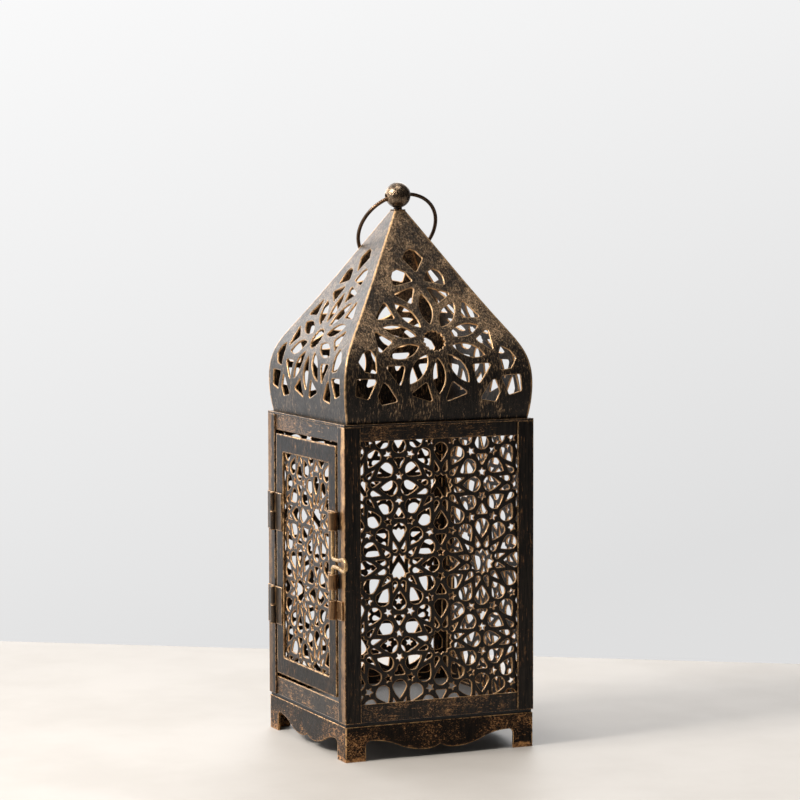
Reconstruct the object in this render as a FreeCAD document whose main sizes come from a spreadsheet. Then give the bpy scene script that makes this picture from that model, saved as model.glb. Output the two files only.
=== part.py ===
"""Moroccan metal lantern: square pierced body with a hinged door, ogee roof and ring handle.

Millimetres, +Z up. The origin is the middle of the footprint, on the surface that the lantern
stands on. The door is the front, on the -Y side, with its hinges on the left.
"""
import FreeCAD, Part
import math
import os
import re
import Sketcher
from FreeCAD import Placement, Rotation, Vector

os.makedirs("parts", exist_ok=True)
doc = FreeCAD.newDocument("moroccan_metal_lantern")
UP = Vector(0, 0, 1)

# Driving dimensions: alias, value, meaning
SIZES = [
    ("body_width", 105.0, "square body, outside of the posts"),
    ("body_floor_z", 19.4, "lower end of the posts"),
    ("body_top_z", 170.0, "top of the collar"),
    ("sheet_thick", 1.0, "posts, rails and fixed panels"),
    ("post_flange", 8.8, "leg of a corner angle"),
    ("rail_gap", 0.1, "end of a rail to the rail round the corner"),
    ("side_rail_top", 8.5, "visible height of a top rail, sides and back"),
    ("side_rail_bottom", 9.2, "visible height of a bottom rail, sides and back"),
    ("front_rail_top", 9.4, "rail above the door"),
    ("front_rail_bottom", 9.4, "rail below the door"),
    ("collar_thick", 1.2, "flat frame on top of the body"),
    ("collar_opening", 87.0, "square opening under the roof"),
    ("floor_thick", 1.6, "floor plate"),
    ("floor_width", 103.4, "floor plate, recessed to leave a dark seam"),
    ("skirt_width", 104.4, "square over the base skirt"),
    ("skirt_thick", 1.2, "skirt strip"),
    ("foot_width", 11.0, "foot at each end of a skirt strip"),
    ("arch_top_z", 10.2, "highest point of the scallop beside a foot"),
    ("arch_round", 2.7, "rounding between foot and scallop"),
    ("lobe_z", 3.7, "lowest point of the scallop"),
    ("lobe_offset", 8.5, "lobe from the middle of the strip"),
    ("cusp_z", 5.8, "point in the middle of the scallop"),
    ("rosette_pitch", 46.0, "distance between neighbouring rosettes of a grille"),
    ("panel_rosette_across", 24.2, "one rosette of a fixed panel, from its middle line"),
    ("panel_rosette_z", 97.4, "the same rosette, height"),
    ("door_rosette_x", 12.0, "one rosette of the door grille"),
    ("door_rosette_z", 118.7, "the same rosette, height"),
    ("hub_tip", 6.5, "radius to the tips of the toothed hub hole"),
    ("hub_root", 5.3, "radius between the tips"),
    ("kite_inner", 7.6, "drop-shaped hole, crown of its round end"),
    ("kite_shoulder", 9.2, "drop-shaped hole, widest place"),
    ("kite_outer", 13.6, "drop-shaped hole, point"),
    ("kite_wide", 2.8, "drop-shaped hole, width"),
    ("petal_inner", 12.4, "petal hole, point"),
    ("petal_flank", 15.4, "petal hole, middle of its curved flank"),
    ("petal_flank_wide", 4.7, "width there"),
    ("petal_shoulder", 18.6, "petal hole, widest place"),
    ("petal_outer", 22.1, "petal hole, crown of its round end"),
    ("petal_wide", 7.8, "petal hole, width"),
    ("corner_round", 0.7, "rounding of the pierced holes"),
    ("star_tip", 2.3, "small five-pointed star hole"),
    ("star_root", 1.1, "small star, between the points"),
    ("delta_radius", 4.0, "rounded triangle hole, centre to corner"),
    ("grille_border", 1.5, "solid edge of a pierced sheet"),
    ("door_width", 81.6, "door frame"),
    ("door_bottom_z", 31.4, "lower edge of the door"),
    ("door_top_z", 158.8, "upper edge of the door"),
    ("door_thick", 1.2, "door frame"),
    ("door_border", 9.3, "stiles and rails of the door frame"),
    ("door_grille_thick", 0.8, "pierced sheet behind the door frame"),
    ("door_grille_lap", 6.0, "grille behind the door frame"),
    ("hinge_tall", 20.0, "height of a hinge"),
    ("hinge_upper_z", 107.5, "lower end of the upper hinge"),
    ("hinge_lower_z", 57.6, "lower end of the lower hinge"),
    ("hinge_leaf_thick", 0.7, "hinge leaf"),
    ("hinge_axis_x", -42.25, "pin line, in the gap between post and door"),
    ("hinge_axis_out", 1.6, "pin line in front of the door face"),
    ("knuckle_radius", 1.5, "hinge knuckle"),
    ("pin_radius", 0.7, "hinge pin"),
    ("running_gap", 0.05, "radial clearance of a turning or sliding fit"),
    ("knuckle_gap", 0.3, "between the two knuckles"),
    ("frame_leaf_end_x", -51.9, "far edge of the leaf on the post"),
    ("door_leaf_end_x", -32.4, "far edge of the leaf on the door"),
    ("bolt_x", 43.55, "line of the sliding bolt"),
    ("bolt_out", 2.75, "bolt line in front of the door face"),
    ("bolt_radius", 1.0, "wire of the bolt"),
    ("bolt_low_z", 81.9, "lower end of the bolt, just above the keeper"),
    ("bolt_high_z", 125.3, "upper end of the bolt"),
    ("loop_z", 100.5, "middle of the loop handle"),
    ("loop_neck", 1.9, "half the wire spacing at the neck of the loop"),
    ("loop_eye", 3.0, "radius of the eye, wire centreline"),
    ("loop_neck_run", 7.0, "bolt line to the end of the neck"),
    ("loop_eye_run", 14.0, "bolt line to the middle of the eye"),
    ("loop_bend", 1.6, "bend from the bolt into the loop"),
    ("curl_radius", 2.4, "curled end of a latch strap, outside"),
    ("strap_thick", 1.3, "latch strap"),
    ("sleeve_end_x", 33.4, "far edge of a sleeve strap on the door"),
    ("keeper_end_x", 51.4, "far edge of the keeper strap on the post"),
    ("upper_sleeve_z", 116.7, "lower edge of the upper sleeve"),
    ("upper_sleeve_tall", 9.3, "upper sleeve"),
    ("middle_sleeve_z", 86.9, "lower edge of the middle sleeve"),
    ("middle_sleeve_tall", 7.7, "middle sleeve"),
    ("keeper_z", 71.8, "lower edge of the keeper"),
    ("keeper_tall", 9.6, "keeper"),
    ("keeper_play", 0.35, "bolt to the bore of the keeper, on the radius"),
    ("roof_thick", 1.0, "roof sheet"),
    ("roof_foot_half", 50.2, "roof half width at its lower edge"),
    ("roof_belly_half", 52.0, "widest point of the roof"),
    ("roof_belly_rise", 14.0, "its height over the collar"),
    ("roof_shoulder_half", 49.8, "shoulder, where the sheet turns inwards"),
    ("roof_shoulder_rise", 32.5, "its height over the collar"),
    ("roof_hip_half", 41.4, "lower end of the slope"),
    ("roof_hip_rise", 46.8, "its height over the collar"),
    ("roof_slope_half", 27.0, "middle of the slope"),
    ("roof_slope_rise", 68.2, "its height over the collar"),
    ("roof_waist_half", 12.8, "slight hollow below the apex"),
    ("roof_waist_rise", 90.5, "its height over the collar"),
    ("roof_apex_half", 3.0, "cut-off apex"),
    ("roof_apex_rise", 105.8, "its height over the collar"),
    ("roof_rosette_rise", 42.2, "middle of the roof rosette, along the sheet"),
    ("roof_hub_tip", 6.2, "toothed hole in the roof rosette, tips"),
    ("roof_hub_root", 5.3, "toothed hole in the roof rosette, roots"),
    ("roof_petal_inner", 9.8, "lens petal, inner point"),
    ("roof_petal_outer", 27.8, "lens petal, outer point"),
    ("roof_petal_wide", 7.0, "lens petal, width"),
    ("roof_delta_inner", 23.5, "triangle between two petals, inner corner"),
    ("roof_delta_outer", 31.8, "triangle between two petals, outer corners"),
    ("roof_delta_angle", 10.8, "outer corners either side of the middle, degrees"),
    ("roof_hole_grow", 0.45, "the other roof holes past their outlines, all round"),
    ("cap_thick", 0.8, "apex cap"),
    ("neck_radius", 2.2, "neck under the ball"),
    ("neck_tall", 1.0, "neck under the ball"),
    ("ball_radius", 6.7, "ball finial"),
    ("ball_centre_z", 283.9, "middle of the ball"),
    ("ring_radius", 21.8, "ring handle, centreline"),
    ("ring_wire", 1.0, "radius of the ring wire"),
    ("bore_azimuth", 85.0, "direction of the bore through the ball, degrees from +X"),
    ("bore_tilt", 11.5, "rise of the bore, degrees"),
    ("bore_throat", 1.0, "half length of the narrow part of the bore"),
    ("bore_mouth", 2.4, "radius of the flared mouths of the bore"),
    ("ring_lean", 56.5, "fall of the ring behind the roof, degrees about the bore"),
]

sheet = doc.addObject("Spreadsheet::Sheet", "Sizes")
for row, (alias, value, meaning) in enumerate(SIZES, start=1):
    sheet.set(f"A{row}", meaning)
    sheet.set(f"B{row}", str(value))
    sheet.setAlias(f"B{row}", alias)
doc.recompute()
ALIASES = {alias for alias, _, _ in SIZES}


def linked(formula):
    """A formula in aliases, as an expression that points at the sheet."""
    def point(word):
        return f"Sizes.{word[0]}" if word[0] in ALIASES else word[0]

    return re.sub(r"[a-z_]+", point, formula)


def size(formula):
    """The value of a formula in aliases."""
    return float(sheet.evalExpression(linked(formula)))


# ---------------------------------------------------------------- helpers for sketched bodies

def new_body(name):
    body = doc.addObject("PartDesign::Body", name)
    body.Label = name
    return body


def new_sketch(body, name, role, offset="0"):
    """A sketch on one of the body's origin planes, moved along its normal."""
    sketch = body.newObject("Sketcher::SketchObject", f"{body.Name}_{name}")
    plane = next(item for item in body.Origin.OriginFeatures if item.Role == role)
    sketch.AttachmentSupport = [(plane, "")]
    sketch.MapMode = "FlatFace"
    sketch.setExpression("AttachmentOffset.Base.z", linked(offset))
    return sketch


def pin_point(sketch, geometry, point, name, across, along):
    """Tie a sketch point to its two coordinates, each a formula."""
    for kind, formula in (("DistanceX", across), ("DistanceY", along)):
        index = sketch.addConstraint(Sketcher.Constraint(kind, -1, 1, geometry, point, size(formula)))
        label = f"{name}_{kind[-1].lower()}"
        sketch.renameConstraint(index, label)
        sketch.setExpression(f"Constraints.{label}", linked(formula))


def draw_polygon(sketch, corners, name="corner"):
    """A closed outline with straight sides; each corner is a pair of formulas."""
    points = [Vector(size(across), size(along), 0) for across, along in corners]
    first = sketch.GeometryCount
    for start, end in zip(points, points[1:] + points[:1]):
        sketch.addGeometry(Part.LineSegment(start, end))
    count = len(points)
    for index in range(count):
        following = first + (index + 1) % count
        sketch.addConstraint(Sketcher.Constraint("Coincident", first + index, 2, following, 1))
    for index, (across, along) in enumerate(corners):
        pin_point(sketch, first + index, 1, f"{name}{index}", across, along)


def draw_rectangle(sketch, left, low, right, high, name="corner"):
    draw_polygon(sketch, [(left, low), (right, low), (right, high), (left, high)], name)


def draw_circle(sketch, across, along, radius):
    centre = Vector(size(across), size(along), 0)
    index = sketch.addGeometry(Part.Circle(centre, UP, size(radius)))
    pin_point(sketch, index, 3, "centre", across, along)
    constraint = sketch.addConstraint(Sketcher.Constraint("Radius", index, size(radius)))
    sketch.renameConstraint(constraint, "radius")
    sketch.setExpression("Constraints.radius", linked(radius))


def pad(body, sketch, length):
    feature = body.newObject("PartDesign::Pad", f"{sketch.Name}_pad")
    feature.Profile = sketch
    feature.setExpression("Length", linked(length))
    doc.recompute()
    return feature


def pocket(body, sketch, length):
    """Cut a sketch upwards through the body, and make sure that it takes something away."""
    before = body.Shape.Volume
    feature = body.newObject("PartDesign::Pocket", f"{sketch.Name}_pocket")
    feature.Profile = sketch
    feature.Reversed = True
    feature.setExpression("Length", linked(length))
    doc.recompute()
    if body.Shape.Volume >= before:
        raise RuntimeError(f"{body.Label}: the pocket cuts nothing")


def place(piece, turn, out=0.0):
    """Move a piece of the +X side outwards, and turn it to its own side."""
    shift = Placement(Vector(out, 0, 0), Rotation())
    piece.Placement = Placement(Vector(), Rotation(UP, turn)).multiply(shift)


def shaped(name, shape):
    """A sub-part whose shape is built directly from the sheet's sizes."""
    feature = doc.addObject("Part::Feature", name)
    feature.Label = name
    feature.Shape = shape
    return feature


# The body has four like sides: each piece is made on the +X side and turned about Z
SIDES = {"right": 0.0, "back": 90.0, "left": 180.0, "front": 270.0}
CORNERS = {"back_right": 0.0, "back_left": 90.0, "front_left": 180.0, "front_right": 270.0}


# ---------------------------------------------------------------- pierced and scalloped sheets

def sheet_point(across, up):
    """A point of a sheet that stands in the YZ plane."""
    return Vector(0, across, up)


def closed_wire(corners):
    return Part.makePolygon(corners + corners[:1])


def rounded(wire, radius, grow=0.0):
    """The outline with its corners rounded, by an offset inwards and back, or further out."""
    shrunk = Part.Face(wire).makeOffset2D(-radius)
    return shrunk.makeOffset2D(radius + grow).OuterWire


def polar(radius, degrees):
    """A point on a sheet at an angle from straight up."""
    angle = math.radians(degrees)
    return sheet_point(radius * math.sin(angle), radius * math.cos(angle))


def traced(*runs):
    """A closed outline: each run is a straight line of two points or an arc through three."""
    curves = [Part.Arc(*run) if len(run) == 3 else Part.LineSegment(*run) for run in runs]
    return Part.Wire(Part.__sortEdges__([curve.toShape() for curve in curves]))


def star_hole(points, tip, root):
    step = 180.0 / points
    return closed_wire([polar(root if index % 2 else tip, index * step) for index in range(2 * points)])


def moved(wire, across, up, degrees=0.0):
    """A copy of a wire drawn round the origin, turned clockwise and moved to its place."""
    spun = Placement(sheet_point(across, up), Rotation(Vector(1, 0, 0), -degrees))
    copy = wire.copy()
    copy.Placement = spun.multiply(copy.Placement)
    return copy


def rosette_holes():
    """The holes of one twelve-fold rosette and of its share of the lattice, about the origin."""
    widest = size("kite_wide / 2")
    right, left = [sheet_point(hand * widest, size("kite_shoulder")) for hand in (1, -1)]
    point = sheet_point(0, size("kite_outer"))
    kite = traced((right, sheet_point(0, size("kite_inner")), left), (left, point), (point, right))
    widest, flank = size("petal_wide / 2"), size("petal_flank_wide / 2")
    right, left = [sheet_point(hand * widest, size("petal_shoulder")) for hand in (1, -1)]
    point = sheet_point(0, size("petal_inner"))
    petal = traced((left, sheet_point(0, size("petal_outer")), right),
                   (right, sheet_point(flank, size("petal_flank")), point),
                   (point, sheet_point(-flank, size("petal_flank")), left))
    star = star_hole(5, size("star_tip"), size("star_root"))
    delta = rounded(closed_wire([polar(size("delta_radius"), turn) for turn in (0, 120, 240)]),
                    size("corner_round"))
    pitch = size("rosette_pitch")
    vertex = pitch / 2 / math.cos(math.radians(15))
    holes = [star_hole(12, size("hub_tip"), size("hub_root"))]
    for step in range(12):
        turn = 30.0 * step
        holes.append(moved(petal, 0, 0, turn))
        holes.append(moved(kite, 0, 0, turn + 15))
    # six of the twelve vertices belong to this rosette; a star points along the edge between rosettes
    for turn, point_to in ((15, 300), (45, 120), (75, 0), (105, 180), (135, 60), (165, 240)):
        spot = polar(vertex, turn)
        holes.append(moved(star, spot.y, spot.z, point_to))
    for turn in (0, 60):
        spot = polar(pitch / math.sqrt(3), turn)
        holes.append(moved(delta, spot.y, spot.z, turn))
    return holes


def pierced_sheet(half_wide, low, high, thick, centre_across, centre_up):
    """A flat sheet filled with the rosette lattice, holes clipped at its solid border."""
    outline = closed_wire([sheet_point(-half_wide, low), sheet_point(half_wide, low),
                           sheet_point(half_wide, high), sheet_point(-half_wide, high)])
    border = size("grille_border")
    left, right = -half_wide + border, half_wide - border
    bottom, top = low + border, high - border
    window = Part.Face(closed_wire([sheet_point(left, bottom), sheet_point(right, bottom),
                                    sheet_point(right, top), sheet_point(left, top)]))
    pitch = size("rosette_pitch")
    row_rise = pitch * math.sqrt(3) / 2
    rows = math.ceil((high - low) / row_rise) + 1
    columns = math.ceil(2 * half_wide / pitch) + 1
    pattern = rosette_holes()
    kept = []
    for row in range(-rows, rows + 1):
        for column in range(-columns, columns + 1):
            across = centre_across + pitch * (column + 0.5 * (row % 2))
            up = centre_up + row_rise * row
            if abs(across) > half_wide + pitch or not low - pitch < up < high + pitch:
                continue
            kept += clipped(pattern, across, up, window, (left, right, bottom, top))
    body = Part.Face([outline] + kept)
    body.validate()
    return body.extrude(Vector(thick, 0, 0))


def clipped(pattern, across, up, window, limits):
    """The holes of one rosette that lie in the window, cut off where they cross its edge."""
    left, right, bottom, top = limits
    smallest = 2.0
    kept = []
    for hole in pattern:
        wire = moved(hole, across, up)
        box = wire.BoundBox
        if box.YMin > right or box.YMax < left or box.ZMin > top or box.ZMax < bottom:
            continue
        if box.YMin > left and box.YMax < right and box.ZMin > bottom and box.ZMax < top:
            kept.append(wire)
            continue
        for face in Part.Face(wire).common(window).Faces:
            if face.Area > smallest:
                kept.append(face.OuterWire)
    return kept


# ---------------------------------------------------------------- base

def mitre_wedge(half, low, high):
    """The quarter of space that belongs to the +X side, as a solid."""
    corners = [Vector(0, 0, low), Vector(half, half, low), Vector(half, -half, low)]
    return Part.Face(closed_wire(corners)).extrude(Vector(0, 0, high - low))


def make_skirt():
    """Four mitred strips; the lower edge of each is scalloped between its two feet."""
    half = size("skirt_width / 2")
    high = size("body_floor_z - floor_thick")
    arch, lobe, cusp = size("arch_top_z"), size("lobe_z"), size("cusp_z")
    inner = half - size("foot_width")
    round_radius, lobe_at = size("arch_round"), size("lobe_offset")
    corner = round_radius * (1 - math.sqrt(0.5))
    crown = inner - round_radius
    # the long ogee from the crown of the arch to the lobe: two tangent arcs that meet halfway
    run, fall = crown - lobe_at, arch - lobe
    bulge = (run * run / fall + fall) / 4
    turn = math.asin(run / 2 / bulge) / 2
    upper_mid = sheet_point(crown - bulge * math.sin(turn), arch - bulge * (1 - math.cos(turn)))
    lower_mid = sheet_point(lobe_at + bulge * math.sin(turn), lobe + bulge * (1 - math.cos(turn)))
    halfway = sheet_point((crown + lobe_at) / 2, (arch + lobe) / 2)
    cusp_mid = sheet_point(0.42 * lobe_at, lobe + 0.25 * (cusp - lobe))
    half_edge = [
        Part.LineSegment(sheet_point(inner, 0), sheet_point(inner, arch - round_radius)),
        Part.Arc(sheet_point(inner, arch - round_radius), sheet_point(inner - corner, arch - corner),
                 sheet_point(crown, arch)),
        Part.Arc(sheet_point(crown, arch), upper_mid, halfway),
        Part.Arc(halfway, lower_mid, sheet_point(lobe_at, lobe)),
        Part.Arc(sheet_point(lobe_at, lobe), cusp_mid, sheet_point(0, cusp)),
    ]
    edges = [curve.toShape() for curve in half_edge]
    mirrored = [edge.mirror(Vector(0, 0, 0), Vector(0, 1, 0)) for edge in edges]
    frame = [sheet_point(inner, 0), sheet_point(half, 0), sheet_point(half, high),
             sheet_point(-half, high), sheet_point(-half, 0), sheet_point(-inner, 0)]
    straight = [Part.LineSegment(start, end).toShape() for start, end in zip(frame, frame[1:])]
    wire = Part.Wire(Part.__sortEdges__(edges + mirrored + straight))
    blank = Part.Face(wire).extrude(Vector(size("skirt_thick"), 0, 0))
    blank.translate(Vector(half - size("skirt_thick"), 0, 0))
    strip = blank.common(mitre_wedge(half + 1, -1, high + 1)).Solids[0]
    for side, turn_z in SIDES.items():
        place(shaped(f"base_skirt_{side}", strip), turn_z)


def make_floor():
    body = new_body("floor_plate")
    outline = new_sketch(body, "outline", "XY_Plane", "body_floor_z - floor_thick")
    draw_rectangle(outline, "-floor_width / 2", "-floor_width / 2", "floor_width / 2", "floor_width / 2")
    pad(body, outline, "floor_thick")


# ---------------------------------------------------------------- body

def make_posts():
    """Four angles, folded to an L, one at each corner."""
    edge, fold, end = "body_width / 2", "body_width / 2 - sheet_thick", "body_width / 2 - post_flange"
    outline = [(edge, edge), (end, edge), (end, fold), (fold, fold), (fold, end), (edge, end)]
    for corner, turn in CORNERS.items():
        body = new_body(f"post_{corner}")
        section = new_sketch(body, "section", "XY_Plane", "body_floor_z")
        draw_polygon(section, outline)
        pad(body, section, "body_top_z - collar_thick - body_floor_z")
        place(body, turn)


def make_rails():
    """A flat rail at the top and bottom of each side, lapped behind the posts."""
    half = "(body_width / 2 - 2 * sheet_thick - rail_gap)"
    roof_side = "body_top_z - collar_thick"
    for side, turn in SIDES.items():
        kind = "front" if side == "front" else "side"
        spans = {"bottom": ("body_floor_z", f"body_floor_z + {kind}_rail_bottom"),
                 "top": (f"body_top_z - {kind}_rail_top", roof_side)}
        for level, (low, high) in spans.items():
            body = new_body(f"rail_{level}_{side}")
            outline = new_sketch(body, "outline", "YZ_Plane", "body_width / 2 - 2 * sheet_thick")
            draw_rectangle(outline, f"-{half}", low, half, high)
            pad(body, outline, "sheet_thick")
            place(body, turn)


def make_panels():
    """The three fixed pierced panels, behind the rails."""
    inner = size("body_width / 2 - 3 * sheet_thick")
    top = size("body_top_z - collar_thick")
    panel = pierced_sheet(inner - 2 * size("rail_gap"), size("body_floor_z"), top,
                          size("sheet_thick"), size("panel_rosette_across"), size("panel_rosette_z"))
    for side in ("right", "back", "left"):
        place(shaped(f"panel_{side}", panel), SIDES[side], inner)


def make_collar():
    """The flat frame between the body and the roof."""
    body = new_body("top_collar")
    outline = new_sketch(body, "outline", "XY_Plane", "body_top_z - collar_thick")
    rim, mouth = "body_width / 2", "collar_opening / 2"
    draw_rectangle(outline, f"-{rim}", f"-{rim}", rim, rim, "rim")
    draw_rectangle(outline, f"-{mouth}", f"-{mouth}", mouth, mouth, "mouth")
    pad(body, outline, "collar_thick")


# ---------------------------------------------------------------- roof

def roof_curve():
    """The section of a roof side in the XZ plane, from its lower edge to the apex."""
    stations = ["belly", "shoulder", "hip", "slope", "waist", "apex"]
    base = size("body_top_z")
    points = [Vector(size("roof_foot_half"), 0, base)]
    for name in stations:
        points.append(Vector(size(f"roof_{name}_half"), 0, base + size(f"roof_{name}_rise")))
    curve = Part.BSplineCurve()
    curve.interpolate(points)
    return curve


def outward(curve, parameter):
    """The unit normal of the roof section, away from the middle of the lantern."""
    along = curve.tangent(parameter)[0]
    return Vector(along.z, 0, -along.x).normalize()


def roof_blank(curve):
    """One plain roof side: the section as a sheet, mitred along the two ridges."""
    first, last = curve.FirstParameter, curve.LastParameter
    thick = size("roof_thick")
    samples = 16
    inner_points = []
    for index in range(samples + 1):
        parameter = first + (last - first) * index / samples
        inner_points.append(curve.value(parameter) - outward(curve, parameter) * thick)
    inner = Part.BSplineCurve()
    inner.interpolate(inner_points)
    closing = [Part.LineSegment(curve.value(first), inner_points[0]),
               Part.LineSegment(curve.value(last), inner_points[-1])]
    section = Part.Wire(Part.__sortEdges__([part.toShape() for part in [curve, inner] + closing]))
    reach = size("roof_belly_half") + 5
    strip = Part.Face(section).extrude(Vector(0, 2 * reach, 0))
    strip.translate(Vector(0, -reach, 0))
    low, high = size("body_top_z"), size("body_top_z + roof_apex_rise")
    trimmed = strip.common(mitre_wedge(reach, low - 5, high + 5))
    room = Part.makeBox(2 * reach, 2 * reach, high - low, Vector(0, -reach, low))
    return trimmed.common(room).Solids[0]


def lens(inner, outer, wide):
    """A petal with two pointed ends, its long axis straight up."""
    low, high = sheet_point(0, inner), sheet_point(0, outer)
    right, left = [sheet_point(offset, (inner + outer) / 2) for offset in (wide / 2, -wide / 2)]
    return traced((low, right, high), (high, left, low))


def roof_holes():
    """The holes of one roof side, flat: across the side, and up along the sheet."""
    centre = size("roof_rosette_rise")
    petal = lens(size("roof_petal_inner"), size("roof_petal_outer"), size("roof_petal_wide"))
    outer, angle = size("roof_delta_outer"), size("roof_delta_angle")
    grow, corner_round = size("roof_hole_grow"), 0.55
    corners = [polar(size("roof_delta_inner"), 0), polar(outer, angle), polar(outer, -angle)]
    delta = rounded(closed_wire(corners), corner_round, grow)
    holes = [moved(star_hole(15, size("roof_hub_tip"), size("roof_hub_root")), 0, centre)]
    for step in range(10):
        holes.append(moved(petal, 0, centre, 36 * step))
        holes.append(moved(delta, 0, centre, 36 * step + 18))
    # the single kite above the rosette
    top_kite = [(0, 83.4), (5.2, 91.3), (2.4, 95.2), (0, 96.4), (-2.4, 95.2), (-5.2, 91.3)]
    outline = closed_wire([sheet_point(across, up) for across, up in top_kite])
    holes.append(rounded(outline, corner_round, grow))
    # mirrored pairs: a quarter round beside the kite, a small house, and the two corner holes
    quarter_round = [(3.8, 78.0), (13.9, 75.5), (13.9, 80.4), (12.6, 83.2), (10.0, 84.6), (6.6, 83.1)]
    house = [(34.8, 25.8), (40.2, 26.8), (43.2, 31.4), (40.5, 35.3), (36.4, 37.5), (34.6, 34.0)]
    corner_hole = [(39.2, 13.0), (45.6, 14.8), (45.0, 22.4), (34.9, 22.0)]
    bottom_hole = [(23.4, 11.2), (31.4, 9.8), (33.4, 14.2), (30.8, 20.5), (28.4, 18.6)]
    for corners in (quarter_round, house, corner_hole, bottom_hole):
        for hand in (1, -1):
            outline = closed_wire([sheet_point(hand * across, up) for across, up in corners])
            holes.append(rounded(outline, corner_round, grow))
    return holes


def make_roof():
    """Four like sides, each pierced with a ten-fold rosette that follows the bend of the sheet."""
    curve = roof_curve()
    length = curve.length()
    side_shape = roof_blank(curve)
    depth = 2.5
    tools = []
    for hole in roof_holes():
        rise = Part.Face(hole).CenterOfMass.z
        parameter = curve.parameterAtDistance(min(rise, length))
        normal = outward(curve, parameter)
        tilt = Rotation(Vector(1, 0, 0), normal)
        flat = hole.copy()
        flat.translate(Vector(-depth, 0, -rise))
        tool = Part.Face(flat).extrude(Vector(2 * depth, 0, 0))
        tool.Placement = Placement(curve.value(parameter), tilt).multiply(tool.Placement)
        tools.append(tool)
    pierced = side_shape.cut(tools)
    solid = max(pierced.Solids, key=lambda piece: piece.Volume)
    for side, turn in SIDES.items():
        place(shaped(f"roof_{side}", solid), turn)


# ---------------------------------------------------------------- finial and ring

def make_finial():
    """The apex cap, the neck and the ball that carries the ring."""
    apex, cap_top = "body_top_z + roof_apex_rise", "body_top_z + roof_apex_rise + cap_thick"
    cap = new_body("apex_cap")
    square = new_sketch(cap, "square", "XY_Plane", apex)
    draw_rectangle(square, "-roof_apex_half", "-roof_apex_half", "roof_apex_half", "roof_apex_half")
    pad(cap, square, "cap_thick")

    neck = new_body("finial_neck")
    disc = new_sketch(neck, "disc", "XY_Plane", cap_top)
    draw_circle(disc, "0", "0", "neck_radius")
    pad(neck, disc, "neck_tall")

    ball = doc.addObject("Part::Sphere", "ball_blank")
    ball.setExpression("Radius", linked("ball_radius"))
    ball.setExpression("Placement.Base.z", linked("ball_centre_z"))
    seat = doc.addObject("Part::Cylinder", "ball_seat")
    seat.setExpression("Radius", linked("ball_radius"))
    seat.setExpression("Height", linked("ball_radius"))
    seat.setExpression("Placement.Base.z", linked(f"{cap_top} + neck_tall - ball_radius"))
    throat = doc.addObject("Part::Cylinder", "bore_throat_hole")
    throat.setExpression("Radius", linked("ring_wire + running_gap"))
    throat.setExpression("Height", linked("2 * bore_throat"))
    flares = [doc.addObject("Part::Cone", f"bore_flare_{end}") for end in ("high", "low")]
    for flare in flares:
        flare.setExpression("Radius1", linked("ring_wire + running_gap"))
        flare.setExpression("Radius2", linked("bore_mouth"))
        flare.setExpression("Height", linked("ball_radius"))
    along = bore_direction()
    centre = Vector(0, 0, size("ball_centre_z"))
    half_throat = size("bore_throat")
    throat.Placement = Placement(centre - along * half_throat, Rotation(UP, along))
    flares[0].Placement = Placement(centre + along * half_throat, Rotation(UP, along))
    flares[1].Placement = Placement(centre - along * half_throat, Rotation(UP, -along))
    cutters = doc.addObject("Part::MultiFuse", "ball_cutters")
    cutters.Shapes = [seat, throat] + flares
    finial = doc.addObject("Part::Cut", "finial_ball")
    finial.Label = "finial_ball"
    finial.Base = ball
    finial.Tool = cutters


def bore_direction():
    azimuth, tilt = math.radians(size("bore_azimuth")), math.radians(size("bore_tilt"))
    return Vector(math.cos(tilt) * math.cos(azimuth), math.cos(tilt) * math.sin(azimuth), math.sin(tilt))


def make_ring():
    """The wire ring, threaded through the ball and leaning back over the left side of the roof."""
    ring = doc.addObject("Part::Torus", "ring_handle")
    ring.Label = "ring_handle"
    ring.setExpression("Radius1", linked("ring_radius"))
    ring.setExpression("Radius2", linked("ring_wire"))
    along = bore_direction()
    level = UP.cross(along).normalize()
    upward = along.cross(level)
    lean = math.radians(size("ring_lean"))
    fall = level * math.cos(lean) - upward * math.sin(lean)
    centre = Vector(0, 0, size("ball_centre_z")) + fall * size("ring_radius")
    ring.Placement = Placement(centre, Rotation(along, fall, Vector(), "XYZ"))


# ---------------------------------------------------------------- door

def make_door():
    frame = new_body("door_frame")
    outline = new_sketch(frame, "outline", "XZ_Plane", "body_width / 2 - door_thick")
    half, border = "door_width / 2", "door_border"
    draw_rectangle(outline, f"-{half}", "door_bottom_z", half, "door_top_z", "rim")
    draw_rectangle(outline, f"-({half} - {border})", f"door_bottom_z + {border}",
                   f"{half} - {border}", f"door_top_z - {border}", "window")
    pad(frame, outline, "door_thick")

    reach = size("door_border - door_grille_lap")
    grille = pierced_sheet(size("door_width / 2") - reach, size("door_bottom_z") + reach,
                           size("door_top_z") - reach, size("door_grille_thick"),
                           size("door_rosette_x"), size("door_rosette_z"))
    behind = size("body_width / 2 - door_thick - door_grille_thick")
    place(shaped("door_grille", grille), SIDES["front"], behind)


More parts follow.
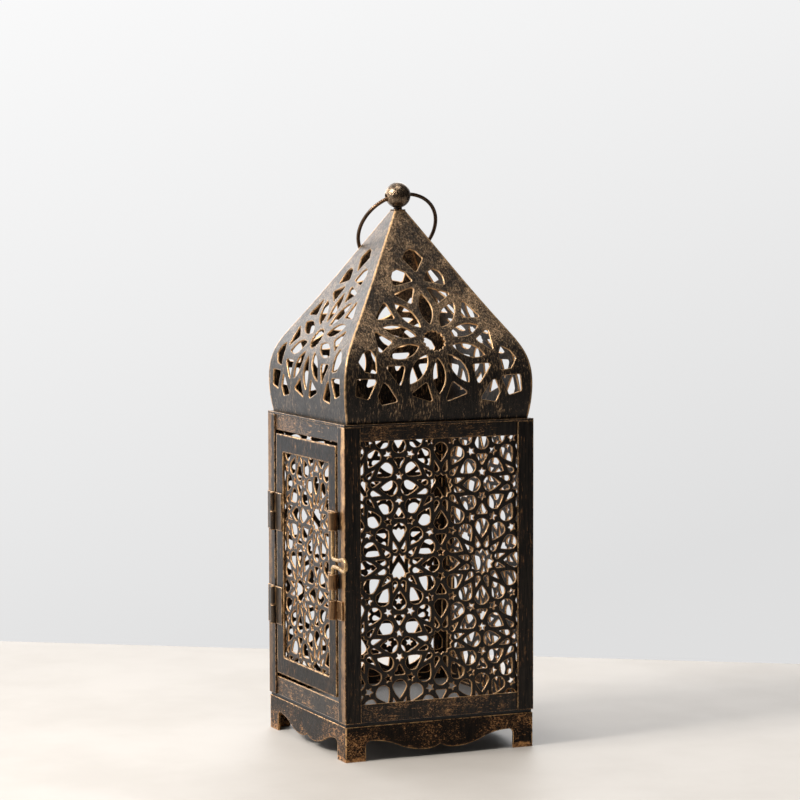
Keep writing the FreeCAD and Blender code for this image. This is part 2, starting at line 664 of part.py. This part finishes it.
def make_hinge(level):
    """A butt hinge: the lower knuckle is on the post, the upper one on the door."""
    low = f"hinge_{level}_z"
    face = "(body_width / 2)"
    axis_y = "(-body_width / 2 - hinge_axis_out)"
    knuckle_tall = "(hinge_tall - knuckle_gap) / 2"
    upper_start = f"{low} + hinge_tall / 2 + knuckle_gap / 2"
    bore = {"frame": "pin_radius", "door": "pin_radius + running_gap"}
    knuckle_low = {"frame": low, "door": upper_start}
    hand = {"frame": "-", "door": "+"}
    for leaf in ("frame", "door"):
        body = new_body(f"hinge_{level}_{leaf}_leaf")
        clear = f"hinge_axis_x {hand[leaf]} (knuckle_radius + knuckle_gap)"
        plate = new_sketch(body, "plate", "XY_Plane", low)
        draw_rectangle(plate, f"{leaf}_leaf_end_x", f"-{face}", clear, f"-({face} + hinge_leaf_thick)")
        pad(body, plate, "hinge_tall")
        tongue = new_sketch(body, "tongue", "XY_Plane", knuckle_low[leaf])
        draw_rectangle(tongue, clear, f"-({face} + knuckle_gap / 3)",
                       f"hinge_axis_x {hand[leaf]} knuckle_gap", f"-({face} + hinge_leaf_thick)")
        pad(body, tongue, knuckle_tall)
        barrel = new_sketch(body, "barrel", "XY_Plane", knuckle_low[leaf])
        draw_circle(barrel, "hinge_axis_x", axis_y, "knuckle_radius")
        pad(body, barrel, knuckle_tall)
        hole = new_sketch(body, "hole", "XY_Plane", low)
        draw_circle(hole, "hinge_axis_x", axis_y, bore[leaf])
        pocket(body, hole, "hinge_tall")
    pin = new_body(f"hinge_{level}_pin")
    section = new_sketch(pin, "section", "XY_Plane", low)
    draw_circle(section, "hinge_axis_x", axis_y, "pin_radius")
    pad(pin, section, "hinge_tall")


# ---------------------------------------------------------------- latch

def make_strap(name, end_x, turn_in, low, tall, play="running_gap"):
    """A latch strap: flat where it is fixed, its other end curled round the bolt line."""
    face = "-body_width / 2"
    axis_y = "(-body_width / 2 - bolt_out)"
    rise = "(bolt_out - curl_radius)"
    body = new_body(name)
    strap = new_sketch(body, "strap", "XY_Plane", low)
    draw_polygon(strap, [
        (end_x, face), (turn_in, face), ("bolt_x", f"{face} - {rise}"),
        ("bolt_x", f"{face} - {rise} - strap_thick"), (turn_in, f"{face} - strap_thick"),
        (end_x, f"{face} - strap_thick")])
    pad(body, strap, tall)
    curl = new_sketch(body, "curl", "XY_Plane", low)
    draw_circle(curl, "bolt_x", axis_y, "curl_radius")
    pad(body, curl, tall)
    hole = new_sketch(body, "hole", "XY_Plane", low)
    draw_circle(hole, "bolt_x", axis_y, f"bolt_radius + {play}")
    pocket(body, hole, tall)


def make_latch_straps():
    door_turn = "door_width / 2 - knuckle_gap"
    post_turn = "body_width / 2 - post_flange + 2 * knuckle_gap"
    make_strap("latch_upper_sleeve", "sleeve_end_x", door_turn, "upper_sleeve_z", "upper_sleeve_tall")
    make_strap("latch_middle_sleeve", "sleeve_end_x", door_turn, "middle_sleeve_z", "middle_sleeve_tall")
    make_strap("latch_keeper", "keeper_end_x", post_turn, "keeper_z", "keeper_tall", "keeper_play")


def make_bolt():
    """The sliding bolt: one wire, bent out into a keyhole loop between the two sleeves."""
    line_x, line_y = size("bolt_x"), size("-body_width / 2 - bolt_out")
    middle = size("loop_z")

    def spot(out, up):
        return Vector(line_x + out, line_y, middle + up)

    neck, eye, bend = size("loop_neck"), size("loop_eye"), size("loop_bend")
    neck_end, eye_at = size("loop_neck_run"), size("loop_eye_run")
    run, widen = eye_at - neck_end, eye - neck
    sway = (run * run / widen + widen) / 4
    turn = math.asin(run / 2 / sway) / 2
    corner = bend * (1 - math.sqrt(0.5))
    # the upper half of the loop, from the bolt line to the middle of the eye
    halfway = ((neck_end + eye_at) / 2, (neck + eye) / 2)
    sway_out, sway_up = sway * math.sin(turn), sway * (1 - math.cos(turn))
    upper = [
        [(0, neck + bend), (corner, neck + corner), (bend, neck)],
        [(bend, neck), (neck_end, neck)],
        [(neck_end, neck), (neck_end + sway_out, neck + sway_up), halfway],
        [halfway, (eye_at - sway_out, eye - sway_up), (eye_at, eye)],
    ]
    lower = [[(out, -up) for out, up in reversed(piece)] for piece in reversed(upper)]
    eye_turn = [[(eye_at, eye), (eye_at + eye, 0), (eye_at, -eye)]]
    top = Vector(line_x, line_y, size("bolt_high_z"))
    edges = [Part.LineSegment(top, spot(0, neck + bend)).toShape()]
    for piece in upper + eye_turn + lower:
        points = [spot(out, up) for out, up in piece]
        curve = Part.Arc(*points) if len(points) == 3 else Part.LineSegment(*points)
        edges.append(curve.toShape())
    low_end = Vector(line_x, line_y, size("bolt_low_z"))
    edges.append(Part.LineSegment(spot(0, -neck - bend), low_end).toShape())
    path = Part.Wire(edges)
    section = Part.Wire(Part.makeCircle(size("bolt_radius"), path.Vertexes[0].Point, UP))
    wire = path.makePipeShell([section], True, False)
    expected = math.pi * size("bolt_radius") ** 2 * path.Length
    if abs(wire.Volume - expected) > 0.01 * expected:
        raise RuntimeError("latch_bolt: the sweep has the wrong volume")
    shaped("latch_bolt", wire)


# ---------------------------------------------------------------- build, check and write

make_skirt()
make_floor()
make_posts()
make_rails()
make_panels()
make_collar()
make_roof()
make_finial()
make_ring()
make_door()
make_hinge("upper")
make_hinge("lower")
make_latch_straps()
make_bolt()
doc.recompute()

PIECES = [item for item in doc.Objects
          if item.TypeId in ("PartDesign::Body", "Part::Feature", "Part::Torus")
          or item.Name == "finial_ball"]
for item in doc.Objects:
    if "Invalid" in item.State or "Error" in item.State:
        raise RuntimeError(f"{item.Label} failed: {item.State}")
for piece in PIECES:
    if piece.Shape.isNull() or not piece.Shape.isValid() or not piece.Shape.Solids:
        raise RuntimeError(f"{piece.Label} has no valid solid")
for piece in PIECES:
    piece.Shape.exportStep(f"parts/{piece.Label}.step")
print(f"{len(PIECES)} pieces written")
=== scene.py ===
"""Looks, stage and camera for the pierced metal lantern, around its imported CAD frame."""

import math

import bpy
from mathutils import Matrix, Vector

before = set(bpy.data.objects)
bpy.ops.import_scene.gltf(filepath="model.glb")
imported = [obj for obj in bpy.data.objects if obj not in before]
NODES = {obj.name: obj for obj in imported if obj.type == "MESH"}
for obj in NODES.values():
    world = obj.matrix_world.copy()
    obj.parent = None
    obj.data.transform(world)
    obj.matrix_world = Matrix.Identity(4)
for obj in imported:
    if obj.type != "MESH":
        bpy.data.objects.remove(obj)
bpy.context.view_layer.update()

MM = 0.001
SIDES = ("front", "right", "back", "left")
CORNERS = ("front_left", "front_right", "back_right", "back_left")
AXIS_SIDES = {"X": ("right", "left"), "Y": ("front", "back")}


# ---------------------------------------------------------------- shader graphs

class Graph:
    """One material's nodes, made by short calls. Sizes of patterns are in millimetres."""

    def __init__(self, name):
        self.material = bpy.data.materials.new(name)
        self.material.use_nodes = True
        self.tree = self.material.node_tree
        self.tree.nodes.clear()
        self.place = self.add("ShaderNodeTexCoord").outputs["Object"]

    def add(self, kind, inputs=None, **settings):
        node = self.tree.nodes.new(kind)
        for name, value in settings.items():
            setattr(node, name, value)
        for socket, value in (inputs or {}).items():
            self.feed(node.inputs[socket], value)
        return node

    def feed(self, socket, value):
        """Link a socket to another one, or set its value. A colour gets its alpha."""
        if isinstance(value, bpy.types.NodeSocket):
            self.tree.links.new(value, socket)
        elif socket.type == "RGBA":
            socket.default_value = (*value, 1.0)
        else:
            socket.default_value = value

    def math(self, operation, first, second=0.0, clamp=False):
        node = self.add("ShaderNodeMath", {0: first, 1: second}, operation=operation, use_clamp=clamp)
        return node.outputs[0]

    def plus(self, first, second):
        return self.math("ADD", first, second)

    def minus(self, first, second):
        return self.math("SUBTRACT", first, second)

    def times(self, first, second):
        return self.math("MULTIPLY", first, second)

    def most(self, first, second):
        return self.math("MAXIMUM", first, second)

    def unsigned(self, value):
        return self.math("ABSOLUTE", value)

    def noise(self, size, seed, detail=4.0, roughness=0.6, distortion=0.0):
        """A noise whose features are about `size` wide: one number, or one for each axis."""
        wide = size if isinstance(size, tuple) else (size,) * 3
        mapped = self.add("ShaderNodeMapping", {
            "Vector": self.place,
            "Location": (seed * 7.31, seed * 3.17, seed * 5.73),
            "Scale": tuple(1 / (side * MM) for side in wide)})
        texture = self.add("ShaderNodeTexNoise", {
            "Vector": mapped.outputs[0], "Scale": 1.0, "Detail": detail,
            "Roughness": roughness, "Distortion": distortion})
        return texture.outputs["Fac"]

    def ramp(self, value, low, high, to_low=0.0, to_high=1.0):
        node = self.add("ShaderNodeMapRange", {
            "Value": value, "From Min": low, "From Max": high,
            "To Min": to_low, "To Max": to_high}, interpolation_type="SMOOTHSTEP")
        return node.outputs[0]

    def mix(self, amount, first, second):
        """A colour between two colours."""
        node = self.add("ShaderNodeMix", {0: amount}, data_type="RGBA")
        self.feed(node.inputs[6], first)
        self.feed(node.inputs[7], second)
        return node.outputs[2]

    def bump(self, strength, distance_mm, height, normal):
        node = self.add("ShaderNodeBump", {
            "Strength": strength, "Distance": distance_mm * MM, "Height": height, "Normal": normal})
        return node.outputs[0]

    def finish(self, **inputs):
        shader = self.add("ShaderNodeBsdfPrincipled", {k.replace("_", " "): v for k, v in inputs.items()})
        self.add("ShaderNodeOutputMaterial", {"Surface": shader.outputs[0]})
        return self.material


class WornSheet(Graph):
    """The layers of wear on one painted piece. Each layer is a value from 0 to 1."""

    BEVEL_SAMPLES = 6
    FOLD_STARTS, FOLD_FULL = 44.0 * MM, 51.0 * MM  # distance from the middle of the lantern
    # Heights between which the fold's rubs fade in from 0.6 to full: a painted shade lower down the post.
    FOLD_DULL_Z, FOLD_BRIGHT_Z = 0.02, 0.16
    RIDGE_WIDE, RIDGE_FULL = 1.3 * MM, 0.4 * MM  # distance from the ridge line
    EDGE_FADE = 0.4 * MM

    def __init__(self, name, seed, edge_mm):
        super().__init__(name)
        self.seed = seed
        self.round_normal = self.add(
            "ShaderNodeBevel", {"Radius": edge_mm * MM}, samples=self.BEVEL_SAMPLES).outputs[0]
        surface = self.add("ShaderNodeNewGeometry").outputs
        facing = self.add("ShaderNodeVectorMath", {0: self.round_normal, 1: surface["Normal"]},
                          operation="DOT_PRODUCT")
        self.turn = self.minus(1.0, facing.outputs["Value"])
        own = self.add("ShaderNodeVectorTransform", {0: surface["True Normal"]},
                       vector_type="NORMAL", convert_from="WORLD", convert_to="OBJECT")
        self.faces = self.add("ShaderNodeSeparateXYZ", {0: own.outputs[0]}).outputs
        self.where = self.add("ShaderNodeSeparateXYZ", {0: self.place}).outputs

    def layer(self, number, size, *options):
        """A noise of this piece's own, another one for each number."""
        return self.noise(size, self.seed + number, *options)

    def rubbed_edges(self, edge, whole, rim_below):
        """Bare metal where the surface turns, broken up by noise, and how golden it is."""
        broken = self.ramp(self.layer(1, (1.6, 1.6, 2.6), 5.0, 0.75), 0.40, 0.60, whole, 1.0)
        rim = self.times(self.ramp(self.turn, 0.01, 0.12), broken)
        rim = self.math("MULTIPLY", rim, edge, clamp=True)
        gilt = self.ramp(self.layer(2, (5.0, 5.0, 8.0), 4.0, 0.65), 0.40, 0.62, 0.15, 1.0)
        if rim_below:
            rim = self.times(rim, self.ramp(self.where["Z"], rim_below, rim_below - self.EDGE_FADE))
        return rim, gilt

    def cut_walls(self, rim, gilt, axis):
        """The same with the walls of the cut holes, which don't face along the sheet's axis."""
        flat = self.unsigned(self.faces[axis])
        wall = self.times(self.ramp(flat, 0.76, 0.60),
                          self.ramp(self.layer(10, 2.4, 4.0, 0.7), 0.32, 0.55, 0.45, 1.0))
        return self.most(self.times(rim, 0.8), wall), self.most(self.times(gilt, 0.8), wall)

    def rubbed_ridge(self, rim, gilt, ridge):
        """The same with a golden line along the ridges of the roof."""
        off = self.unsigned(self.minus(self.unsigned(self.where["X"]), self.unsigned(self.where["Y"])))
        line = self.times(self.ramp(off, self.RIDGE_WIDE, self.RIDGE_FULL),
                          self.ramp(self.layer(14, (2.0, 2.0, 3.5), 5.0, 0.7), 0.36, 0.56, 0.25, 1.0))
        return self.most(rim, self.times(line, ridge)), self.most(gilt, self.times(line, 0.85))

    def rubbed_fold(self, rim, gilt, corner):
        """The same with long rubs beside the fold, on the front and back faces of a post, fewer of them
        lower down: a painted shade for the light falling off towards the table.
        """
        near = self.math("MINIMUM", self.unsigned(self.where["X"]), self.unsigned(self.where["Y"]))
        band = self.ramp(near, self.FOLD_STARTS, self.FOLD_FULL)
        rubbed = self.layer(11, (1.5, 1.5, 9.0), 6.0, 0.72, 0.3)
        rubbed = self.ramp(self.plus(rubbed, self.times(band, 0.47)), 0.66, 0.88)
        rubbed = self.times(rubbed, self.ramp(self.unsigned(self.faces["Y"]), 0.5, 0.9))
        # Fewer rubs lower down: a painted shade for the light that falls off towards the table.
        height = self.ramp(self.where["Z"], self.FOLD_DULL_Z, self.FOLD_BRIGHT_Z, 0.6, 1.0)
        rubbed = self.times(rubbed, height)
        return (self.most(rim, self.times(rubbed, corner)),
                self.times(gilt, self.ramp(rubbed, 0.0, 0.6, 1.0, 0.55)))

    def flecks(self, fleck, size_mm, long, soft, patch_mm, grown):
        """Small bare flecks, more of them in some patches and where `grown` is high."""
        patches = self.ramp(self.layer(3, patch_mm, 3.0, 0.6), 0.36, 0.64)
        if grown:
            patches = self.times(self.plus(self.times(patches, 0.7), 0.35),
                                 self.plus(self.times(grown, 0.85), 0.15))
        fine = self.layer(4, (size_mm, size_mm, size_mm * long), 8.0, 0.76, 0.6)
        limit = self.minus(0.70 - 0.08 * fleck, self.times(patches, 0.15 * fleck))
        return self.ramp(self.minus(fine, limit), 0.0, soft)

    def foot_scuffs(self, top):
        """Bare patches at the ends of the feet, from the table up to the height `top`."""
        low = self.ramp(self.where["Z"], top, 0.0)
        scuffs = self.layer(13, (4.0, 4.0, 2.0), 6.0, 0.7, 0.4)
        return self.ramp(self.plus(scuffs, self.times(low, 0.22)), 0.62, 0.70)

    def strokes(self, streak, size_mm):
        """Long brush strokes that show a little metal."""
        strokes = self.layer(5, size_mm, 5.0, 0.68, 0.25)
        patches = self.ramp(self.layer(6, (9.0, 9.0, 20.0), 2.0), 0.35, 0.65)
        limit = self.minus(0.68 - 0.08 * streak, self.times(patches, 0.14 * streak))
        return self.ramp(self.minus(strokes, limit), 0.0, 0.12, 0.0, 0.7)


BRONZE_DARK = (0.090, 0.042, 0.019)
BRONZE = (0.43, 0.215, 0.088)
GOLD = (1.0, 0.61, 0.28)
PAINT = (0.0085, 0.0080, 0.0082)
PAINT_WORN = (0.036, 0.028, 0.022)
BLACK = (0.003, 0.003, 0.003)
METALLIC_BARE = 0.45
BODY_TOP_EDGE = 0.1688


def rubbed_metal(name, seed, paint=PAINT, worn_paint=PAINT_WORN, metal=BRONZE, bright=GOLD,
                 sheen=0.6, specular=0.5, paint_roughness=0.42, waviness=0.25,
                 edge=1.0, edge_mm=0.5, whole=0.10, rim_below=None, wall_axis=None, ridge=0.0, corner=0.0,
                 fleck=0.5, fleck_mm=0.9, fleck_long=1.0, soft=0.06, patch_mm=24.0, rise=None,
                 streak=0.4, streak_mm=(0.8, 0.8, 7.0), scuffed_below=0.0, black_sides=False):
    """Black paint on sheet metal, rubbed through to bronze and gold on edges, in flecks and in strokes.

    paint and worn_paint are the darkest and lightest paint, metal the bare metal, bright its
    rubbed edges. On the front and back roof sheets the lightest paint is a painted sheen. sheen is
    how metallic the paint is, specular the strength of its gloss.
    edge is how strongly edges are rubbed, whole the least of it that is left where noise breaks the
    rim. rim_below is the height above which edges stay painted. wall_axis is the axis that the sheet
    faces: what faces elsewhere is the bare wall of a cut hole. ridge and corner are how strongly the
    roof's ridges and a post's fold are rubbed.
    fleck and streak are how much of the surface shows metal, from 0 to 1. soft is how gradual a
    fleck's outline is, patch_mm the size of the patches with more of them, and rise the pair of
    heights between which they grow from few to all and the paint gets lighter: the flecks are wear,
    the lighter top is a painted light and the darker lower belt of the roof a painted shade.
    scuffed_below is the height up to which feet are scuffed. black_sides paints what doesn't
    face up or down black, a painted shade for the dark seam under the body. Heights are in metres,
    and names that end in _mm are in millimetres.
    """
    sheet = WornSheet(name, seed, edge_mm)
    rim, gilt = sheet.rubbed_edges(edge, whole, rim_below)
    if wall_axis:
        rim, gilt = sheet.cut_walls(rim, gilt, wall_axis)
    if ridge:
        rim, gilt = sheet.rubbed_ridge(rim, gilt, ridge)
    if corner:
        rim, gilt = sheet.rubbed_fold(rim, gilt, corner)
    # Rises from 0 to 1 between the heights in rise: more flecks and lighter paint higher up the roof. The
    # flecks are wear; the darker, barer lower belt is a painted shade and the lighter top a painted
    # light.
    grown = sheet.ramp(sheet.where["Z"], *rise) if rise else None
    flecks = sheet.flecks(fleck, fleck_mm, fleck_long, soft, patch_mm, grown)
    if scuffed_below:
        flecks = sheet.most(flecks, sheet.foot_scuffs(scuffed_below))
    worn = sheet.most(rim, sheet.most(flecks, sheet.strokes(streak, streak_mm)))

    tone = sheet.ramp(sheet.layer(7, 1.8, 5.0, 0.75), 0.32, 0.66)
    bare = sheet.mix(sheet.times(rim, gilt), sheet.mix(tone, BRONZE_DARK, metal), bright)
    brushed = sheet.ramp(sheet.layer(8, (0.9, 0.9, 14.0), 6.0, 0.65), 0.34, 0.72)
    # Lighter paint higher up the roof: a painted light.
    if grown:
        brushed = sheet.times(brushed, sheet.plus(sheet.times(grown, 0.7), 0.3))
    colour = sheet.mix(worn, sheet.mix(brushed, paint, worn_paint), bare)
    # Sides that don't face up or down are painted black: a painted shade for the dark seam under the
    # body's edge.
    if black_sides:
        colour = sheet.mix(sheet.ramp(sheet.unsigned(sheet.faces["Z"]), 0.9, 0.5), colour, BLACK)

    grain = sheet.layer(9, (0.5, 0.5, 1.8), 4.0, 0.6)
    rough = sheet.plus(sheet.ramp(grain, 0.2, 0.8, paint_roughness - 0.08, paint_roughness + 0.12),
                       sheet.times(worn, -0.05))
    relief = sheet.plus(sheet.times(grain, 0.35), sheet.times(worn, -0.35))
    wavy = sheet.bump(waviness, 1.2, sheet.layer(12, 22.0, 1.0), sheet.round_normal)
    return sheet.finish(Base_Color=colour, Metallic=sheet.ramp(worn, 0.0, 1.0, sheen, METALLIC_BARE),
                        Roughness=rough, Normal=sheet.bump(0.4, 0.12, relief, wavy),
                        Specular_IOR_Level=specular)


# ---------------------------------------------------------------- finish of each piece

def assign(names, *look, **wear):
    """Give the named CAD nodes one new rubbed metal."""
    material = rubbed_metal(*look, **wear)
    for name in names:
        slots = NODES[name].data.materials
        slots.clear()
        slots.append(material)


for corner in CORNERS:
    assign([f"post_{corner}"], f"post_paint_{corner}", 11,
           fleck=0.45, fleck_long=2.5, streak=0.6, edge=1.3, edge_mm=1.0, waviness=0.35,
           corner=0.85 if corner == "front_right" else 0.5, rim_below=BODY_TOP_EDGE,
           specular=0.4, sheen=0.7)
assign([f"base_skirt_{side}" for side in SIDES], "skirt_paint", 37,
       worn_paint=(0.026, 0.018, 0.013), metal=(0.64, 0.32, 0.125), specular=0.15, sheen=0.8,
       fleck=0.95, fleck_mm=1.2, fleck_long=0.6, soft=0.10, patch_mm=22.0,
       streak=0.5, streak_mm=(4.0, 4.0, 1.0), edge=1.9, edge_mm=1.0, scuffed_below=0.0060)
assign(["door_frame"], "door_paint", 41,
       worn_paint=(0.020, 0.015, 0.011), specular=0.1, sheen=0.85,
       fleck=0.45, fleck_long=2.5, soft=0.10, streak=0.7, edge=1.5, edge_mm=1.6, whole=0.25)
for axis, sides in AXIS_SIDES.items():
    assign([f"rail_{level}_{side}" for level in ("top", "bottom") for side in sides],
           f"rail_paint_{axis}", 23,
           metal=(0.66, 0.35, 0.15), sheen=0.5,
           fleck=0.95, fleck_mm=1.1, fleck_long=0.6, soft=0.10, patch_mm=18.0,
           streak=0.7, streak_mm=(6.0, 6.0, 0.9), edge=1.6, edge_mm=0.7,
           wall_axis=axis, rim_below=BODY_TOP_EDGE)
    assign([f"panel_{side}" for side in sides if side != "front"], f"pierced_paint_{axis}", 53,
           metal=(0.58, 0.30, 0.13), fleck=0.35, streak=0.15, edge=2.3, edge_mm=0.80, whole=0.45,
           wall_axis=axis)
    # The front and back roof sheets get lighter grey paint, greyer metal and fewer flecks: a painted
    # sheen, the reflection of the bright wall. The right and left sheets keep the darker paint with more
    # gold flecks.
    gilded = axis == "X"
    assign([f"roof_{side}" for side in sides], f"roof_paint_{axis}", 67,
           paint=(0.0090, 0.0080, 0.0078),
           worn_paint=(0.085, 0.068, 0.054) if gilded else (0.125, 0.108, 0.092),
           metal=(0.76, 0.50, 0.28) if gilded else (0.44, 0.30, 0.18),
           fleck=1.0 if gilded else 0.85, fleck_mm=0.60, fleck_long=2.4, soft=0.08, patch_mm=16.0,
           streak=0.9, streak_mm=(0.6, 0.6, 4.0), edge=2.4, edge_mm=0.90, whole=0.40,
           # rise: more flecks and lighter paint towards the top, partly a painted light on the upper
           # roof.
           rise=(0.180, 0.220), wall_axis=axis, ridge=0.9)
assign(["door_grille"], "grille_copper", 59,
       metal=(0.62, 0.32, 0.14), fleck=0.6, streak=0.4, edge=2.0, edge_mm=0.80, whole=0.5, wall_axis="Y")
assign(["top_collar", "apex_cap", "finial_neck"], "collar_paint", 71,
       fleck=0.4, streak=0.2, edge=1.2, edge_mm=0.7)
# The floor plate's upright sides are painted black, a painted shade for the dark seam between it and the
# body.
assign(["floor_plate"], "floor_zinc", 83,
       paint=(0.16, 0.155, 0.15), worn_paint=(0.26, 0.25, 0.24), sheen=0.2, paint_roughness=0.5,
       fleck=0.1, streak=0.1, edge=0.0, black_sides=True)
assign(["finial_ball"], "ball_bronze", 97,
       paint=(0.050, 0.034, 0.023), worn_paint=(0.25, 0.185, 0.125), metal=(0.66, 0.45, 0.26),
       bright=(1.0, 0.72, 0.46), sheen=0.85, paint_roughness=0.23,
       fleck=1.0, fleck_mm=1.0, streak=0.3, streak_mm=(0.8, 0.8, 1.6), edge=0.6)
assign(["ring_handle"], "wire_bronze", 101,
       paint=(0.025, 0.016, 0.011), worn_paint=(0.14, 0.080, 0.042), sheen=0.75, paint_roughness=0.30,
       fleck=0.9, fleck_mm=0.6, streak=0.6, edge=0.4)
assign(["latch_bolt"], "bolt_gold", 107,
       paint=(0.20, 0.12, 0.055), worn_paint=(0.70, 0.45, 0.20), metal=(0.95, 0.64, 0.30),
       sheen=0.6, paint_roughness=0.28,
       fleck=1.0, fleck_mm=0.6, streak=0.8, streak_mm=(0.5, 0.5, 3.0), edge=0.4)
assign([f"hinge_{level}_{piece}" for level in ("upper", "lower")
        for piece in ("frame_leaf", "door_leaf", "pin")], "hinge_black", 113,
       paint=(0.012, 0.010, 0.009), worn_paint=(0.090, 0.062, 0.038), sheen=0.65, paint_roughness=0.36,
       fleck=0.7, fleck_mm=0.6, streak=0.7, streak_mm=(0.5, 0.5, 4.0), edge=1.6, edge_mm=0.9, whole=0.4)
assign(["latch_keeper", "latch_upper_sleeve", "latch_middle_sleeve"], "sleeve_copper", 127,
       paint=(0.050, 0.027, 0.014), worn_paint=(0.36, 0.20, 0.090), sheen=0.70, paint_roughness=0.32,
       fleck=0.9, fleck_mm=0.6, streak=0.8, streak_mm=(0.5, 0.5, 4.0), edge=1.6, edge_mm=0.8, whole=0.4)


# ---------------------------------------------------------------- camera

VIEW_AZIMUTH, VIEW_ELEVATION, VIEW_ROLL = 66.21, 4.39, -0.15
VIEW_DISTANCE, SHIFT_RIGHT, SHIFT_UP = 1.4606, 0.0009, 0.0273
MIDDLE = Vector((0, 0, 0.150))


def azimuth_frame(azimuth, elevation):
    """The unit vectors from the object to a viewer, to the viewer's right, and to the viewer's up."""
    turn, rise = math.radians(azimuth), math.radians(elevation)
    back = Vector((math.sin(turn) * math.cos(rise), -math.cos(turn) * math.cos(rise), math.sin(rise)))
    right = Vector((math.cos(turn), math.sin(turn), 0))
    return back, right, back.cross(right)


def make_camera():
    lens = bpy.data.cameras.new("camera")
    lens.sensor_width = 36.0
    lens.lens = 125.9
    lens.clip_end = 50
    camera = bpy.data.objects.new("camera", lens)
    bpy.context.scene.collection.objects.link(camera)
    back, right, up = azimuth_frame(VIEW_AZIMUTH, VIEW_ELEVATION)
    spot = MIDDLE + back * VIEW_DISTANCE + right * SHIFT_RIGHT + up * SHIFT_UP
    facing = Matrix((right, up, back)).transposed().to_4x4()
    roll = Matrix.Rotation(math.radians(VIEW_ROLL), 4, "Z")
    camera.matrix_world = Matrix.Translation(spot) @ facing @ roll
    bpy.context.scene.camera = camera


make_camera()


# ---------------------------------------------------------------- table, room and lights

TABLE_EDGE_LEFT, TABLE_EDGE_RIGHT = Vector((-0.388, -0.107, 0)), Vector((-0.1025, 0.310, 0))
TABLE_PAST_EDGE_POINTS = 1.2
TABLE_DEEP = 0.80


def make_table():
    """A plain pale table top whose far edge runs behind the lantern."""
    along = (TABLE_EDGE_RIGHT - TABLE_EDGE_LEFT).normalized()
    toward = Vector((along.y, -along.x, 0)) * TABLE_DEEP
    far_left = TABLE_EDGE_LEFT - along * TABLE_PAST_EDGE_POINTS
    far_right = TABLE_EDGE_RIGHT + along * TABLE_PAST_EDGE_POINTS
    mesh = bpy.data.meshes.new("table_top")
    mesh.from_pydata([far_left, far_left + toward, far_right + toward, far_right], [], [(0, 1, 2, 3)])
    table = bpy.data.objects.new("table_top", mesh)
    bpy.context.scene.collection.objects.link(table)
    graph = Graph("pale_table")
    cloud = graph.ramp(graph.noise(90.0, 3, 4.0), 0.3, 0.7)
    colour = graph.mix(cloud, (0.44, 0.405, 0.365), (0.49, 0.455, 0.415))
    mesh.materials.append(graph.finish(Base_Color=colour, Roughness=0.55))


make_table()

ROOM_LIGHT_SIDE = Vector((-0.86, -0.48, 0.18)).normalized()
# The cosine of the angle to the light side, and the strength of the light from there.
ROOM_DARK, ROOM_BRIGHT = (-0.25, 0.04), (0.80, 1.45)
WALL_SHADING, WALL_LEVEL, WALL_LEAST = (-0.105, -0.238, 0.78), 0.868, 0.74


def make_world():
    """A room with a pale wall behind the lantern and a dark side behind the camera."""
    world = bpy.data.worlds.new("room")
    world.use_nodes = True
    tree = world.node_tree
    tree.nodes.clear()

    def add(kind, *links, **settings):
        node = tree.nodes.new(kind)
        for name, value in settings.items():
            setattr(node, name, value)
        for source, socket in links:
            tree.links.new(source, node.inputs[socket])
        return node

    direction = add("ShaderNodeTexCoord").outputs["Generated"]
    side = add("ShaderNodeVectorMath", (direction, 0), operation="DOT_PRODUCT")
    side.inputs[1].default_value = ROOM_LIGHT_SIDE
    level = add("ShaderNodeMapRange", (side.outputs["Value"], "Value"), interpolation_type="SMOOTHSTEP")
    for bound, (at, strength) in (("Min", ROOM_DARK), ("Max", ROOM_BRIGHT)):
        level.inputs[f"From {bound}"].default_value = at
        level.inputs[f"To {bound}"].default_value = strength
    light = add("ShaderNodeBackground", (level.outputs[0], "Strength"))
    light.inputs["Color"].default_value = (0.97, 0.98, 1.0, 1)

    fall = add("ShaderNodeVectorMath", (direction, 0), operation="DOT_PRODUCT")
    fall.inputs[1].default_value = WALL_SHADING
    shade = add("ShaderNodeMath", (fall.outputs["Value"], 0), operation="ADD", use_clamp=True)
    shade.inputs[1].default_value = WALL_LEVEL
    least = add("ShaderNodeMath", (shade.outputs[0], 0), operation="MAXIMUM")
    least.inputs[1].default_value = WALL_LEAST
    wall = add("ShaderNodeBackground", (least.outputs[0], "Strength"))
    wall.inputs["Color"].default_value = (0.998, 0.998, 1.0, 1)

    seen = add("ShaderNodeLightPath").outputs["Is Camera Ray"]
    pick = add("ShaderNodeMixShader", (seen, 0), (light.outputs[0], 1), (wall.outputs[0], 2))
    add("ShaderNodeOutputWorld", (pick.outputs[0], "Surface"))
    bpy.context.scene.world = world


make_world()


def soft_light(name, toward, distance, wide, tall, power, colour):
    """A softbox that faces the lantern from the direction `toward`."""
    data = bpy.data.lights.new(name, "AREA")
    data.shape = "RECTANGLE"
    data.size, data.size_y = wide, tall
    data.energy = power
    data.color = colour
    lamp = bpy.data.objects.new(name, data)
    bpy.context.scene.collection.objects.link(lamp)
    toward = Vector(toward).normalized()
    lamp.location = MIDDLE + toward * distance
    lamp.rotation_euler = toward.to_track_quat("Z", "Y").to_euler()


soft_light("window_light", (0.06, -0.74, 0.60), 1.25, 0.38, 0.42, 20.0, (1.0, 0.97, 0.93))
soft_light("top_light", (0.20, -0.10, 1.0), 1.8, 0.9, 0.9, 10.0, (1.0, 0.98, 0.95))
soft_light("wall_glow", (-0.93, -0.22, 0.36), 1.9, 1.1, 0.9, 8.0, (0.97, 0.98, 1.0))
soft_light("rear_light", (-0.8, 0.6, 0.5), 2.2, 1.2, 1.0, 8.0, (1, 1, 1))

bpy.context.scene.view_settings.view_transform = "Standard"
